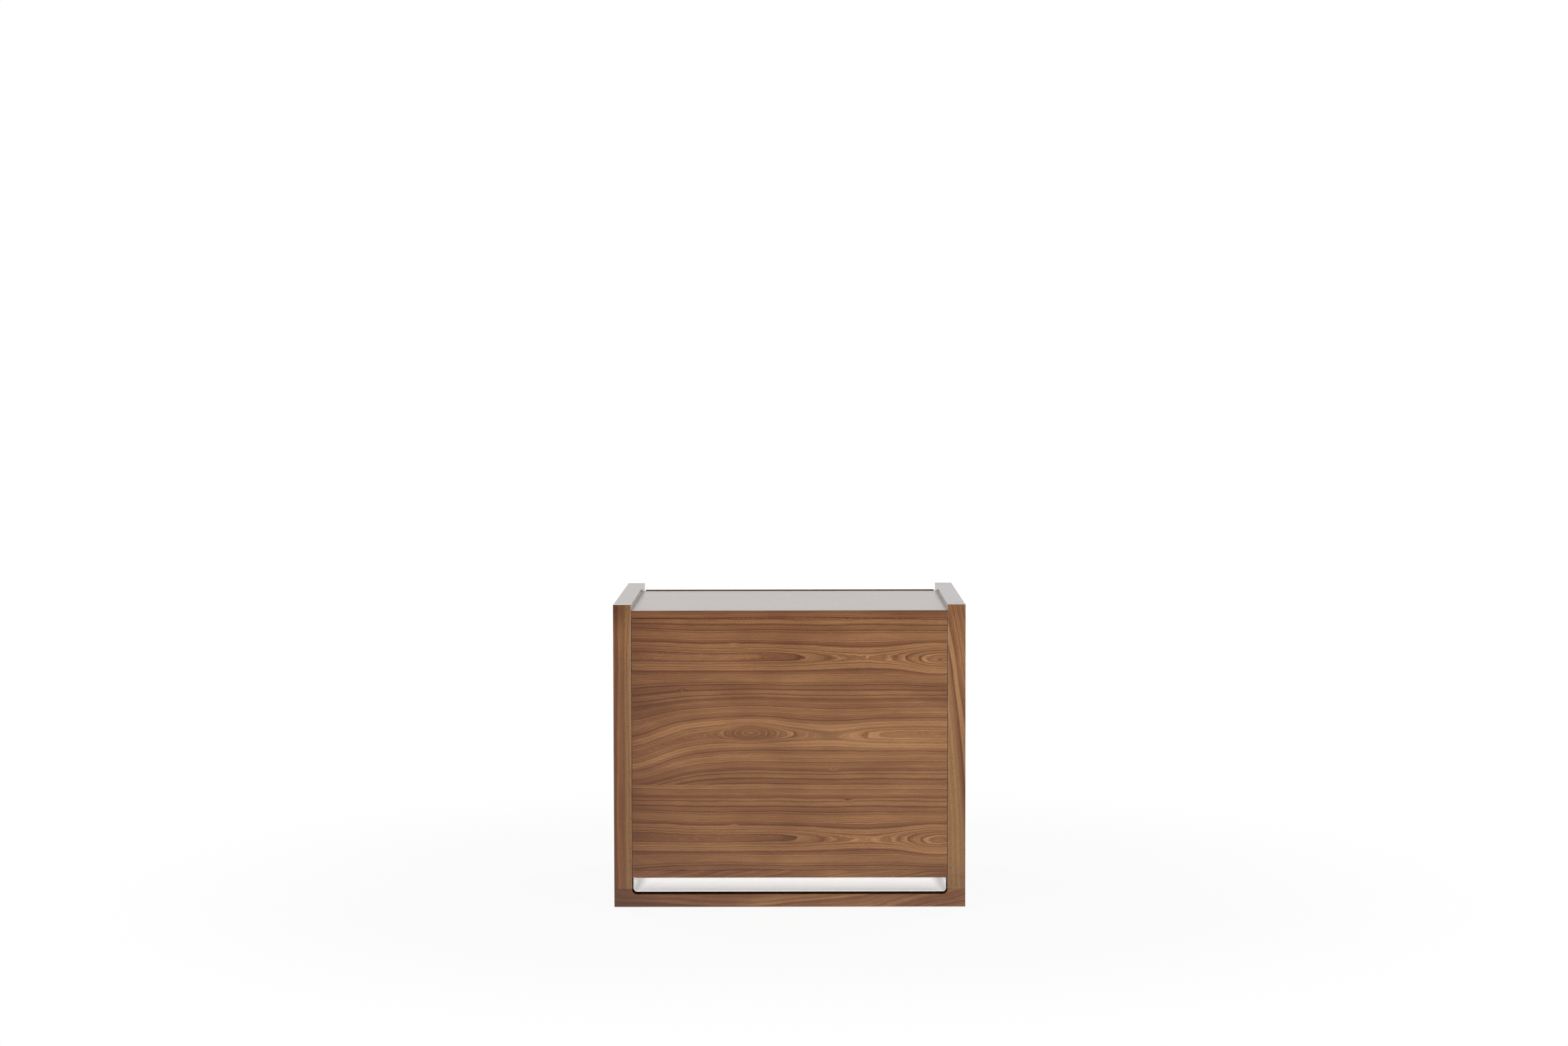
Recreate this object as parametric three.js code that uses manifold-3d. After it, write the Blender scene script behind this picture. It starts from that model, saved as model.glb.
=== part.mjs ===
// A small walnut chest with one deep drawer on a pair of full-extension ball slides.
// Millimetres. +X runs to the right, +Y to the back and +Z up. The front looks along -Y,
// the floor is z = 0 and the origin is on the floor under the middle of the chest.

import * as THREE from 'three';
import { mergeVertices } from 'three/addons/utils/BufferGeometryUtils.js';
import Module from 'manifold-3d';

const wasm = await Module();
wasm.setup();

// Overall sizes
const width = 559;
const depth = 457;
const sideHeight = 482.5; // from the underside of the bottom rail to the top of the sides
const sideThickness = 28.5;
const glideProud = 1.5; // the glides lift the wood off the floor

// Sides
const frontStileDepth = 46;
const rearStileDepth = 40;

// Base frame
const railHeight = 28.5; // at the ends, under the stiles
const railWaist = 20; // in the middle, under the finger slot
const railFillet = 7.5;
const sillWidth = 28.5;
const bottomThickness = 6;
const rebateWidth = 10;

// Top and back
const topThickness = 12;
const topRecess = 9.3; // the sides stand this far above the top
const rearSpace = 40.5; // open behind the back, for cables
const lippingDepth = 10;
const backThickness = 12;
const backRise = 1; // the back stands this far above the top
const backSideGap = 4;
const cleatDrop = 20;
const cleatWidth = 30;
const backCleatDepth = 18;

// Drawer front
const frontInset = 1; // behind the face of the stiles
const frontThickness = 20;
const sideReveal = 0.5;
const topReveal = 0.5;
const slotHeight = 26.7; // clear height between the bottom rail and the grip rail
const gripRailHeight = 12;
const gripRailRadius = 4; // eases the hidden lower edge that the fingers hold

// Pull scoop, pressed from one steel sheet
const sheet = 1.6;
const scoopSetBack = 8; // of its lip, behind the face of the stiles
const scoopRise = 20; // slope of the floor at the lip, in degrees
const scoopRadius = 45;
const lipBevel = 1.2; // takes the sharp lower edge off the lip
const scoopCorner = 6.5; // rounds the floor into the cheeks
const scoopGap = 2.8; // over the bottom rail
const scoopSideGap = 1.6;

// Drawer box
const pocketHeight = 22; // from the underside of the grip rail to the underside of the box
const boxTopDrop = 40;
const boxThickness = 12;
const boxBottomThickness = 6;
const grooveLift = 8;
const grooveDepth = 6;
const tailPitch = 39;
const tailShare = 0.56; // the part of the pitch that a tail takes at its root
const tailSlope = 1 / 7;

// Ball slides
const slideThickness = 12.7;
const slideSetBack = 2; // behind the back of the drawer front
const slideEndGap = 4; // in front of the back cleats
const slideLift = 75; // centre line above the underside of the box
const webThickness = 1.2;
const innerThickness = 1;
const ballRadius = 1.6;
const raceRadius = 1.75;
const outerBallOut = 4.9; // from the side panel
const outerBallUp = 19.6; // from the centre line
const innerBallOut = 8.3;
const cageThickness = 0.6;
const cageLength = 120;
const ballPitch = 22;
const accessHoleRadius = 5;

// Fasteners, bumpers and glides
const slideScrew = { head: 3.4, cone: 1.9, shank: 1.6, length: 15 };
const panScrew = { head: 4.2, rise: 2.2, shank: 2, length: 26 };
const scoopScrew = { head: 3.6, rise: 1.8, shank: 1.7, length: 9 };
const screwInset = 40; // from the ends of what the screws hold
const bumperRadius = 5;
const bumperLift = 40; // above the centre line of the slides
const bumperReach = 5.4;
const bumperInset = 1; // in from the side of the box
const glideRadius = 9;
const glideEdge = 1.5; // turned-up rim
const nailRadius = 1.3;
const nailLength = 16;

// Clearances
const fit = 0.2; // between glued or screwed faces
const play = 0.15; // round dovetails, grooves and screws
const arris = 0.8; // rounding of the outer edges
const overrun = 1; // how far a cut runs past the wood

// Derived levels and planes
const front = -depth / 2;
const rear = depth / 2;
const base = glideProud;
const sideTop = base + sideHeight;
const opening = width / 2 - sideThickness; // half of the clear width between the sides
const stileBack = front + frontStileDepth;
const rearStileFront = rear - rearStileDepth;
const waistTop = base + railWaist;
const railTop = base + railHeight;
const topLevel = sideTop - topRecess;
const topUnderside = topLevel - topThickness;
const backFace = rear - rearSpace - backThickness;
const topRear = backFace - fit;
const cleatFace = topRear - backCleatDepth;
const face = front + frontInset;
const faceBack = face + frontThickness;
const gripBottom = waistTop + slotHeight;
const gripTop = gripBottom + gripRailHeight;
const frontTop = topUnderside - topReveal;
const frontHalf = opening - sideReveal;
const boxFloor = gripBottom + pocketHeight;
const boxTop = frontTop - boxTopDrop;
const boxStart = faceBack + fit;
const boxEnd = cleatFace - bumperReach - 2 * fit;
const boxHalf = opening - slideThickness - 2 * fit;
const slideStart = faceBack + slideSetBack;
const slideEnd = cleatFace - slideEndGap;
const slideLevel = boxFloor + slideLift;

// Finishes
const finish = (color, roughness, metalness = 0) =>
  new THREE.MeshStandardMaterial({ color, roughness, metalness });
const walnut = finish(0x7a563e, 0.45);
const veneer = finish(0x80593d, 0.42);
const birch = finish(0xd8bd92, 0.6);
const whiteCoat = finish(0xf4f4f2, 0.5);
const zinc = finish(0xb9bcc0, 0.35, 0.9);
const steel = finish(0x8d9196, 0.3, 1);
const rubber = finish(0x2b2b2b, 0.9);
const nylon = finish(0xe6e2d8, 0.6);

// Turns a closed three.js geometry into a solid that can be cut and joined.
function solidFrom(geometry) {
  geometry.deleteAttribute('normal');
  geometry.deleteAttribute('uv');
  const merged = mergeVertices(geometry, 1e-4);
  const triangles = [];
  for (let i = 0; i < merged.index.count; i += 3) {
    const [a, b, c] = [0, 1, 2].map((k) => merged.index.getX(i + k));
    if (a !== b && b !== c && c !== a) triangles.push(a, b, c);
  }
  return new wasm.Manifold(new wasm.Mesh({
    numProp: 3,
    vertProperties: merged.attributes.position.array,
    triVerts: new Uint32Array(triangles),
  }));
}

// Adds a solid to a group as a mesh with its own name.
function addPiece(group, name, solid, material) {
  const { vertProperties, triVerts } = solid.getMesh();
  const geometry = new THREE.BufferGeometry();
  geometry.setAttribute('position', new THREE.BufferAttribute(vertProperties, 3));
  geometry.setIndex(new THREE.BufferAttribute(triVerts, 1));
  geometry.computeVertexNormals();
  const mesh = new THREE.Mesh(geometry, material);
  mesh.name = name;
  group.add(mesh);
}

// For each axis, where an outline's own two directions and its extrusion point.
const X = new THREE.Vector3(1, 0, 0);
const Y = new THREE.Vector3(0, 1, 0);
const Z = new THREE.Vector3(0, 0, 1);
const prismFrames = {
  x: (from) => new THREE.Matrix4().makeBasis(Y, Z, X).setPosition(from, 0, 0),
  y: (from, to) => new THREE.Matrix4().makeBasis(X, Z, Y.clone().negate()).setPosition(0, to, 0),
  z: (from) => new THREE.Matrix4().makeBasis(X, Y, Z).setPosition(0, 0, from),
};

// An outline carried along one axis: drawn in YZ for x, in XZ for y and in XY for z.
function prism(shape, axis, from, to, curveSegments = 3) {
  const geometry = new THREE.ExtrudeGeometry(shape, {
    depth: to - from, bevelEnabled: false, curveSegments,
  });
  return solidFrom(geometry.applyMatrix4(prismFrames[axis](from, to)));
}

// A rectangle whose corners low-low, high-low, high-high and low-high may be rounded.
function rectangle([a0, a1], [b0, b1], [r0, r1, r2, r3] = [0, 0, 0, 0]) {
  const shape = new THREE.Shape();
  const corner = (a, b, r, turn) => {
    if (r > 0) shape.absarc(a, b, r, turn, turn + Math.PI / 2);
    else shape.lineTo(a, b);
  };
  shape.moveTo(a0 + r0, b0);
  corner(a1 - r1, b0 + r1, r1, -Math.PI / 2);
  corner(a1 - r2, b1 - r2, r2, 0);
  corner(a0 + r3, b1 - r3, r3, Math.PI / 2);
  corner(a0 + r0, b0 + r0, r0, Math.PI);
  return shape;
}

// A board between three pairs of planes. plan, elevation and end are the corner radii of its
// outlines seen from above, from the front and from the side.
function board(xs, ys, zs, { plan, elevation, end } = {}) {
  let solid = prism(rectangle(xs, ys, plan), 'z', ...zs);
  if (elevation) solid = solid.intersect(prism(rectangle(xs, zs, elevation), 'y', ...ys));
  if (end) solid = solid.intersect(prism(rectangle(ys, zs, end), 'x', ...xs));
  return solid;
}

// A turned piece: a profile of [radius, distance] points, starting and ending on the axis.
function turned(profile, direction, position, sides = 10) {
  const points = profile.map(([r, along]) => new THREE.Vector2(r, along));
  const geometry = new THREE.LatheGeometry(points, sides);
  geometry.applyQuaternion(new THREE.Quaternion().setFromUnitVectors(Y, direction));
  geometry.translate(position.x, position.y, position.z);
  return solidFrom(geometry);
}

// A length of sheet rolled to a section: the centre line of its upper half, mirrored below.
function rolled(halfPath, thickness, from, to, hand) {
  const half = halfPath.getPoints(3).filter((p, i, all) => !i || p.distanceTo(all[i - 1]) > 1e-3);
  const line = [...half.map((p) => new THREE.Vector2(p.x, -p.y)).reverse(), ...half.slice(1)];
  const side = (sign) => line.map((point, i) => {
    const before = point.clone().sub(line[Math.max(i - 1, 0)]).normalize();
    const after = line[Math.min(i + 1, line.length - 1)].clone().sub(point).normalize();
    const along = before.clone().add(after).normalize();
    const stretch = 1 / Math.max(along.dot(i ? before : after), 0.5);
    const normal = new THREE.Vector2(-along.y, along.x).multiplyScalar(stretch);
    return point.clone().addScaledVector(normal, sign * thickness / 2);
  });
  const outline = [...side(1), ...side(-1).reverse()].map((p) => new THREE.Vector2(p.x * hand, p.y));
  return prism(new THREE.Shape(outline), 'y', from, to);
}

// Both hands of a piece: the left one at x < 0 and the right one at x > 0.
const hands = [['left', -1], ['right', 1]];
const span = (hand, a, b) => [hand * a, hand * b].sort((p, q) => p - q);

const chest = new THREE.Group();
const carcass = new THREE.Group();
const drawer = new THREE.Group();
chest.add(carcass, drawer);

// Sides: a panel between two stiles, flush on both faces and along the top. The front edges of the
// panel and the rear stile are eased, so that the joints show on the top as fine lines.
function addSides() {
  const topEase = [0, 0, arris, arris];
  for (const [side, hand] of hands) {
    const across = span(hand, opening, width / 2);
    const stile = [railTop + fit, sideTop];
    addPiece(carcass, `${side}_front_stile`, board(across, [front, stileBack], stile, {
      plan: [arris, arris, 0, 0], elevation: topEase, end: [0, 0, 0, arris],
    }), walnut);
    addPiece(carcass, `${side}_rear_stile`, board(across, [rearStileFront, rear], stile, {
      plan: [0, 0, arris, arris], elevation: topEase, end: [0, 0, arris, arris],
    }), walnut);
    let panel = board(across, [stileBack + fit, rearStileFront - fit], stile, {
      elevation: topEase, end: [0, 0, 0, arris / 2],
    });
    for (const y of slideScrewRows()) {
      const seat = new THREE.Vector3(hand * (opening - fit - webThickness), y, slideLevel);
      panel = panel.subtract(countersunk(seat, X.clone().multiplyScalar(-hand), play));
    }
    addPiece(carcass, `${side}_side_panel`, panel, veneer);
  }
}

// A full-width rail: full height under the stiles and lowered between them.
function railOutline() {
  const half = width / 2;
  const shape = new THREE.Shape();
  const inside = opening - railFillet;
  shape.moveTo(-half + arris, base);
  shape.absarc(half - arris, base + arris, arris, -Math.PI / 2, 0);
  shape.lineTo(half, railTop);
  shape.lineTo(opening, railTop);
  shape.absarc(inside, waistTop + railFillet, railFillet, 0, -Math.PI / 2, true);
  shape.absarc(-inside, waistTop + railFillet, railFillet, -Math.PI / 2, -Math.PI, true);
  shape.lineTo(-opening, railTop);
  shape.lineTo(-half, railTop);
  shape.absarc(-half + arris, base + arris, arris, Math.PI, Math.PI * 1.5);
  return shape;
}

// Base frame: two rails, two sills between them and a bottom panel in their rebate.
function addBase() {
  const panelHalf = width / 2 - sillWidth + rebateWidth;
  const panelFront = stileBack - rebateWidth;
  const panelRear = rearStileFront + rebateWidth;
  const rebate = board(
    [-panelHalf - fit, panelHalf + fit], [panelFront - fit, panelRear + fit],
    [base - overrun, base + bottomThickness + fit],
  );
  const nails = glidePlaces().map(([, x, y]) => glide(x, y, play));
  const rail = (ys, plan) => {
    const ease = board([-width / 2, width / 2], ys, [base, railTop], { plan });
    const blank = prism(railOutline(), 'y', ...ys, 5).intersect(ease);
    return nails.reduce((wood, nail) => wood.subtract(nail), blank.subtract(rebate));
  };
  addPiece(carcass, 'front_bottom_rail', rail([front, stileBack], [arris, arris, 0, 0]), walnut);
  addPiece(carcass, 'rear_bottom_rail', rail([rearStileFront, rear], [0, 0, arris, arris]), walnut);
  for (const [side, hand] of hands) {
    const sill = board(
      span(hand, width / 2 - sillWidth, width / 2), [stileBack + fit, rearStileFront - fit],
      [base, railTop],
    );
    addPiece(carcass, `${side}_sill`, sill.subtract(rebate), walnut);
  }
  const bottom = board([-panelHalf, panelHalf], [panelFront, panelRear], [base, base + bottomThickness]);
  addPiece(carcass, 'bottom_panel', bottom, birch);
}

// Top and back, with the cleats that hold them to the sides.
function addTopAndBack() {
  const half = opening - fit;
  const lippingBack = face + lippingDepth;
  const edge = arris / 2;
  addPiece(carcass, 'top_front_lipping', board(
    [-half, half], [face, lippingBack], [topUnderside, topLevel], { end: [edge, 0, 0, edge] },
  ), walnut);
  addPiece(carcass, 'top_panel', board(
    [-half, half], [lippingBack + fit, topRear], [topUnderside, topLevel],
  ), veneer);
  const backHalf = opening - backSideGap;
  addPiece(carcass, 'back_panel', board(
    [-backHalf, backHalf], [backFace, backFace + backThickness],
    [base + bottomThickness + fit, topLevel + backRise], { end: [0, 0, edge, edge] },
  ), veneer);
  for (const [side, hand] of hands) {
    const across = span(hand, opening - fit, opening - fit - cleatWidth);
    addPiece(carcass, `${side}_top_cleat`, board(
      across, [stileBack, topRear], [topUnderside - fit - cleatDrop, topUnderside - fit],
    ), birch);
    addPiece(carcass, `${side}_back_cleat`, board(
      across, [cleatFace, topRear],
      [base + bottomThickness + fit, topUnderside - 2 * fit - cleatDrop],
    ), birch);
    const seat = new THREE.Vector3(
      hand * (boxHalf - bumperRadius - bumperInset), cleatFace - fit, slideLevel + bumperLift,
    );
    addPiece(carcass, `${side}_rear_bumper`, turned([
      [0, 0], [bumperRadius, 0], [bumperRadius, bumperReach * 0.55],
      [bumperRadius * 0.6, bumperReach], [0, bumperReach],
    ], Y.clone().negate(), seat, 16), rubber);
  }
}

// Nail-on glides under the four corners.
const glidePlaces = () => hands.flatMap(([side, hand]) => [
  [`${side}_front_glide`, hand * (width - sideThickness) / 2, front + frontStileDepth / 2],
  [`${side}_rear_glide`, hand * (width - sideThickness) / 2, rear - rearStileDepth / 2],
]);

function glide(x, y, extra = 0) {
  return turned([
    [0, -extra], [glideRadius - glideEdge, -extra],
    [glideRadius, glideProud * 0.6], [glideRadius, glideProud - fit],
    [nailRadius + extra, glideProud - fit], [nailRadius + extra, base + nailLength + extra],
    [0, base + nailLength + extra + nailRadius],
  ], Z, new THREE.Vector3(x, y, 0), 16);
}

function addGlides() {
  for (const [name, x, y] of glidePlaces()) addPiece(carcass, name, glide(x, y), nylon);
}

// A countersunk screw whose head lies flush at a point; direction points out of the wood.
function countersunk(seat, direction, extra = 0) {
  const { head, cone, shank, length } = slideScrew;
  return turned([
    [0, -length - extra], [shank + extra, -length + shank * 2 - extra], [shank + extra, -cone - extra],
    [head + extra, extra ? -extra / 2 : -play], [head + extra, extra], [0, extra],
  ], direction, seat);
}

// A pan-head screw: the head's underside lies at a point and direction points out of the wood.
function panHead({ head, rise, shank, length }, seat, direction, extra = 0) {
  return turned([
    [0, -length - extra], [shank + extra, -length + shank * 2 - extra], [shank + extra, 0],
    [head + extra, 0], [head + extra, rise * 0.45], [head * 0.7 + extra, rise * 0.9],
    [0, rise + extra],
  ], direction, seat);
}

const slideScrewRows = () => [slideStart + screwInset, slideEnd - screwInset];

// Ball slides: u runs from the side panel to the drawer box and v up from the centre line.
function addSlides() {
  const outerBall = { u: outerBallOut, v: outerBallUp };
  const innerBall = { u: innerBallOut, v: innerBallLevel() };
  for (const [side, hand] of hands) {
    const slide = new THREE.Group();
    slide.position.set(hand * (opening - fit), 0, slideLevel);
    chest.add(slide);
    const hole = (y, u, out, extra) => countersunk(
      new THREE.Vector3(-hand * u, y, 0), X.clone().multiplyScalar(out * -hand), extra,
    );
    let cabinet = rolled(cabinetPath(outerBall), webThickness, slideStart, slideEnd, -hand);
    let middle = rolled(
      middlePath(outerBall, innerBall), innerThickness, slideStart, slideEnd, -hand,
    );
    let inner = rolled(drawerPath(innerBall), innerThickness, slideStart, slideEnd, -hand);
    for (const y of slideScrewRows()) {
      cabinet = cabinet.subtract(hole(y, webThickness, 1, play));
      inner = inner.subtract(hole(y, slideThickness - innerThickness, -1, play));
      const access = prism(new THREE.Shape().absarc(y, 0, accessHoleRadius, 0, Math.PI * 2), 'x',
        ...span(-hand, webThickness, slideThickness / 2), 8);
      middle = middle.subtract(access);
    }
    addPiece(slide, `${side}_cabinet_member`, cabinet, zinc);
    addPiece(slide, `${side}_middle_member`, middle, zinc);
    addPiece(slide, `${side}_drawer_member`, inner, zinc);
    addPiece(slide, `${side}_outer_ball_cage`, ballCage(outerCagePath(outerBall), outerBall, hand), steel);
    addPiece(slide, `${side}_inner_ball_cage`, ballCage(innerCagePath(innerBall), innerBall, hand), steel);
    for (const [row, y] of slideScrewRows().entries()) {
      const place = row ? 'rear' : 'front';
      addPiece(slide, `${side}_${place}_cabinet_screw`, hole(y, webThickness, 1), steel);
      addPiece(slide, `${side}_${place}_drawer_screw`, hole(y, slideThickness - innerThickness, -1), steel);
    }
  }
}

// The inner row of balls lies where the middle member's flange turns from one race to the other.
function innerBallLevel() {
  const reach = 2 * raceRadius + innerThickness;
  const across = innerBallOut - outerBallOut;
  return outerBallUp - Math.sqrt(reach ** 2 - across ** 2);
}

// Outermost section, screwed to the side panel: its flange ends in a race over the outer balls.
function cabinetPath(outerBall) {
  const race = raceRadius + webThickness / 2;
  const web = webThickness / 2;
  const bend = webThickness * 1.6;
  const top = outerBall.v + race;
  const path = new THREE.Path();
  path.moveTo(web, 0);
  path.lineTo(web, top - bend);
  path.absarc(web + bend, top - bend, bend, Math.PI, Math.PI / 2, true);
  path.absarc(outerBall.u, outerBall.v, race, Math.PI / 2, Math.PI / 18, true);
  return path;
}

// Middle section: under the outer balls and over the inner ones in one S-shaped flange.
function middlePath(outerBall, innerBall) {
  const race = raceRadius + innerThickness / 2;
  const web = webThickness * 2 + innerThickness / 2;
  const bend = innerThickness * 1.5;
  const floor = outerBall.v - race;
  const swing = Math.atan2(innerBall.v - outerBall.v, innerBall.u - outerBall.u);
  const path = new THREE.Path();
  path.moveTo(web, 0);
  path.lineTo(web, floor - bend);
  path.absarc(web + bend, floor - bend, bend, Math.PI, Math.PI / 2, true);
  path.absarc(outerBall.u, outerBall.v, race, -Math.PI / 2, swing, false);
  path.absarc(innerBall.u, innerBall.v, race, swing + Math.PI, Math.PI / 6, true);
  return path;
}

// Innermost section, screwed to the drawer box: its flange cups the inner balls from below.
function drawerPath(innerBall) {
  const race = raceRadius + innerThickness / 2;
  const web = slideThickness - innerThickness / 2;
  const bend = innerThickness * 1.5;
  const floor = innerBall.v - race;
  const path = new THREE.Path();
  path.moveTo(web, 0);
  path.lineTo(web, floor - bend);
  path.absarc(web - bend, floor - bend, bend, 0, Math.PI / 2, false);
  path.absarc(innerBall.u, innerBall.v, race, -Math.PI / 2, -Math.PI * 0.75, true);
  return path;
}

// The outer cage runs in the space between the cabinet and middle webs.
function outerCagePath(outerBall) {
  const web = webThickness * 1.5;
  const path = new THREE.Path();
  path.moveTo(web, 0);
  path.lineTo(web, outerBall.v);
  path.lineTo(outerBall.u + ballRadius * 0.8, outerBall.v);
  return path;
}

// The inner cage runs beside the middle web and dips under its flange.
function innerCagePath(innerBall) {
  const web = webThickness * 2 + innerThickness * 1.8;
  const dip = innerBall.v - cageThickness;
  const path = new THREE.Path();
  path.moveTo(web, 0);
  path.lineTo(web, dip);
  path.lineTo(innerBall.u - ballRadius * 1.4, dip);
  path.lineTo(innerBall.u - ballRadius * 0.7, innerBall.v);
  path.lineTo(innerBall.u + ballRadius * 0.8, innerBall.v);
  return path;
}

// A cage with its two rows of balls, halfway along the closed slide.
function ballCage(path, ball, hand) {
  const middle = (slideStart + slideEnd) / 2;
  let cage = rolled(path, cageThickness, middle - cageLength / 2, middle + cageLength / 2, -hand);
  const steps = Math.floor((cageLength / 2 - ballRadius * 2) / ballPitch);
  for (let step = -steps; step <= steps; step++) {
    for (const row of [-1, 1]) {
      const sphere = new THREE.SphereGeometry(ballRadius, 8, 5);
      sphere.translate(-hand * ball.u, middle + step * ballPitch, row * ball.v);
      cage = cage.add(solidFrom(sphere));
    }
  }
  return cage;
}

// Drawer front: a veneered panel over a solid grip rail.
function addDrawerFront() {
  const across = [-frontHalf, frontHalf];
  const edge = arris / 2;
  let panel = board(across, [face, faceBack], [gripTop + fit, frontTop], {
    plan: [edge, edge, 0, 0], end: [edge / 2, 0, 0, edge],
  });
  for (const { seat } of frontScrews()) panel = panel.subtract(panHead(panScrew, seat, Y, play));
  addPiece(drawer, 'drawer_front', panel, veneer);
  addPiece(drawer, 'grip_rail', board(across, [face, faceBack], [gripBottom, gripTop], {
    plan: [edge, edge, 0, 0], end: [edge, gripRailRadius, 0, edge / 2],
  }), walnut);
}

// Four screws hold the drawer front from inside the box.
const frontScrews = () => hands.flatMap(([side, hand]) => [
  ['lower', boxFloor + grooveLift + screwInset], ['upper', boxTop - screwInset],
].map(([row, z]) => ({
  name: `${side}_${row}_front_screw`,
  seat: new THREE.Vector3(hand * (boxHalf - screwInset * 2), boxStart + boxThickness, z),
})));

// The scoop: a floor that sweeps up into a back wall and a ceiling, closed by a cheek at each end.
// Its lip and cheeks come forward under the grip rail and show their edges to the front.
function scoopBody(inset, open) {
  const low = waistTop + scoopGap + inset;
  const high = boxFloor - fit - inset;
  const half = opening - scoopSideGap - inset;
  const corner = scoopCorner - inset;
  const lip = front + scoopSetBack;
  const rise = THREE.MathUtils.degToRad(scoopRise);
  const centre = lip - scoopRadius * Math.sin(rise);
  const noseTurn = Math.asin((lip + lipBevel - centre) / (scoopRadius + sheet));
  const level = waistTop + scoopGap + (scoopRadius + sheet) * Math.cos(noseTurn);
  const rim = level - scoopRadius * Math.cos(rise) - (inset ? 0 : sheet - lipBevel);
  const radius = scoopRadius + sheet - inset;
  const wallTurn = Math.asin(Math.min(0, (high - level) / radius));
  const wall = centre + radius * Math.cos(wallTurn);
  const brow = faceBack + fit - open;
  const cheek = gripBottom - fit;
  const side = new THREE.Shape();
  side.moveTo(lip - open, cheek);
  side.lineTo(lip - open, rim);
  side.absarc(centre, level, radius, (inset ? rise : noseTurn) - Math.PI / 2, wallTurn);
  side.lineTo(wall, high);
  side.lineTo(brow, high);
  side.lineTo(brow, cheek);
  const ends = rectangle([-half, half], [low, high], [corner, corner, 0, 0]);
  return prism(side, 'x', -half, half, 24).intersect(prism(ends, 'y', lip - open, wall, 6));
}

const scoopScrews = () => [['left', -1], ['middle', 0], ['right', 1]].map(([place, hand]) => ({
  name: `${place}_scoop_screw`,
  seat: new THREE.Vector3(
    hand * (boxHalf - screwInset * 2), boxStart + boxThickness / 2, boxFloor - fit - sheet - play,
  ),
}));

function addScoop() {
  let scoop = scoopBody(0, 0).subtract(scoopBody(sheet, frontStileDepth));
  const down = Z.clone().negate();
  for (const { name, seat } of scoopScrews()) {
    scoop = scoop.subtract(panHead(scoopScrew, seat, down, play));
    addPiece(drawer, name, panHead(scoopScrew, seat, down), steel);
  }
  addPiece(drawer, 'pull_scoop', scoop, whiteCoat);
}

// Dovetails: tails on the ends of the box sides, widest at their tips. A tail runs from past its
// root to past its tip, and extra makes it fuller.
function tail(at, root, tip, { extra, pastRoot = 0, pastTip = 0 }) {
  const outward = Math.sign(tip - root);
  const halfAt = (y) => tailPitch * tailShare / 2 + extra + (y - root) * outward * tailSlope;
  const inner = root - outward * pastRoot;
  const outer = tip + outward * pastTip;
  const shape = new THREE.Shape();
  shape.moveTo(inner, at - halfAt(inner));
  shape.lineTo(inner, at + halfAt(inner));
  shape.lineTo(outer, at + halfAt(outer));
  shape.lineTo(outer, at - halfAt(outer));
  shape.closePath();
  return shape;
}

function tailLevels() {
  const count = Math.floor((boxTop - boxFloor) / tailPitch);
  const start = (boxFloor + boxTop) / 2 - (count - 1) * tailPitch / 2;
  return Array.from({ length: count }, (_, i) => start + i * tailPitch);
}

// The groove that holds the box bottom runs round all four walls.
function bottomSpace(extra) {
  const reach = boxThickness - grooveDepth - extra;
  return board(
    [-boxHalf + reach, boxHalf - reach], [boxStart + reach, boxEnd - reach],
    [boxFloor + grooveLift - extra, boxFloor + grooveLift + boxBottomThickness + extra],
  );
}

function addDrawerBox() {
  const walls = [boxFloor, boxTop];
  const groove = bottomSpace(play);
  const ends = [
    { tip: boxStart, root: boxStart + boxThickness }, { tip: boxEnd, root: boxEnd - boxThickness },
  ];
  for (const [side, hand] of hands) {
    const across = span(hand, boxHalf - boxThickness, boxHalf);
    const shoulders = [ends[0].root + play, ends[1].root - play];
    let wall = board(across, shoulders, walls, { elevation: [0, 0, arris, arris] });
    for (const { tip, root } of ends) {
      for (const z of tailLevels()) {
        const shape = tail(z, root, tip, { extra: -play, pastRoot: overrun });
        wall = wall.add(prism(shape, 'x', ...across));
      }
    }
    wall = wall.subtract(groove);
    for (const y of slideScrewRows()) {
      const seat = new THREE.Vector3(hand * (boxHalf + fit + innerThickness), y, slideLevel);
      wall = wall.subtract(countersunk(seat, X.clone().multiplyScalar(hand), play));
    }
    addPiece(drawer, `${side}_box_side`, wall, birch);
  }
  for (const [name, { tip, root }] of [['box_front', ends[0]], ['box_back', ends[1]]]) {
    const ys = [tip, root].sort((a, b) => a - b);
    let wall = board([-boxHalf, boxHalf], ys, walls, { end: [0, 0, arris, arris] });
    for (const [, hand] of hands) {
      const across = span(hand, boxHalf - boxThickness - play, boxHalf + overrun);
      for (const z of tailLevels()) {
        const socket = tail(z, root, tip, { extra: play, pastRoot: overrun, pastTip: overrun });
        wall = wall.subtract(prism(socket, 'x', ...across));
      }
    }
    wall = wall.subtract(groove);
    if (name === 'box_front') {
      for (const { seat } of frontScrews()) wall = wall.subtract(panHead(panScrew, seat, Y, play));
      const down = Z.clone().negate();
      for (const { seat } of scoopScrews()) wall = wall.subtract(panHead(scoopScrew, seat, down, play));
    }
    addPiece(drawer, name, wall, birch);
  }
  addPiece(drawer, 'box_bottom', bottomSpace(0), birch);
  for (const { name, seat } of frontScrews()) {
    addPiece(drawer, name, panHead(panScrew, seat.clone().setY(seat.y + play), Y), steel);
  }
}

addSides();
addBase();
addTopAndBack();
addGlides();
addSlides();
addDrawerFront();
addScoop();
addDrawerBox();

export default chest;
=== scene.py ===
import math

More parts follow.
